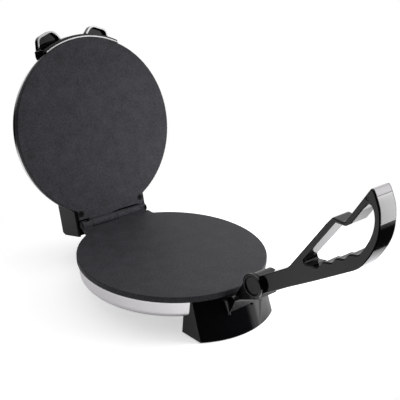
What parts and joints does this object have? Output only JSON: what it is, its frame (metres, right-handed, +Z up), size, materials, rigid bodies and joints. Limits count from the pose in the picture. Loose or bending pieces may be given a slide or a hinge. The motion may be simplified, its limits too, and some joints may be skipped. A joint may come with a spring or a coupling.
{
  "type": "hinged-lid flatbread and pizza cooker",
  "caption": "Round countertop cooker with a hinged lid on a rear hinge, a base plate on two feet, and a long press lever that folds from the front foot over the closed lid.",
  "frame": {"origin": "on the floor, under the middle of the whole as it stands open; the base plate's centre is 42.5 mm behind it", "axes": "+Z up, -Y to the front where the lever lies, +X to the right along the lid's hinge pin"},
  "size_m": [0.254, 0.5673, 0.3167],
  "materials": {
    "nonstick": "satin non-stick coating on cast aluminium",
    "polished_steel": "polished stainless steel sheet",
    "plain_steel": "plain",
    "bright_trim": "bright plated",
    "black_plastic": "glossy moulded plastic",
    "dark_plastic": "moulded heat-proof plastic",
    "rubber": "matte"
  },
  "bodies": {
    "base": {"base_plate": "nonstick", "base_bowl": "polished_steel", "base_bottom_cover": "plain_steel", "base_cover_screws": "plain_steel", "foot_screws": "plain_steel", "front_foot": "black_plastic", "rear_foot": "black_plastic", "foot_pads": "rubber", "cord_inlet": "rubber", "hinge_pin": "plain_steel", "hinge_pin_clips": "plain_steel", "base_heating_element": "plain_steel", "base_element_clamp": "plain_steel", "base_clamp_nut": "plain_steel", "base_thermostat": "dark_plastic", "thermal_fuse": "plain_steel", "terminal_block": "dark_plastic", "lever_pivot_pin": "plain_steel", "pivot_caps": "black_plastic"},
    "lid": {"lid_plate": "nonstick", "lid_plate_screws": "plain_steel", "lid_cover": "polished_steel", "cover_screws": "plain_steel", "lid_handle": "black_plastic", "lid_handle_screws": "plain_steel", "handle_rims": "bright_trim", "lid_front_trim": "bright_trim", "lid_rear_housing": "black_plastic", "lid_heating_element": "plain_steel", "lid_element_clamp": "plain_steel", "lid_clamp_nut": "plain_steel", "lid_thermostat": "dark_plastic"},
    "lever": {"lever_body": "black_plastic", "lever_trim": "bright_trim", "lever_tip_cap": "bright_trim", "lever_tip_pin": "black_plastic", "lever_bush": "plain_steel"}
  },
  "joints": [
    {"name": "lid_hinge", "type": "hinge", "parent": "base", "child": "lid", "pos_m": [0, 0.1759, 0.0572], "axis": [1, 0, 0], "range_deg": [0, 105.6]},
    {"name": "lever_pivot", "type": "hinge", "parent": "base", "child": "lever", "pos_m": [0, -0.125, 0.0796], "axis": [1, 0, 0], "range_deg": [-124, 0]}
  ]
}
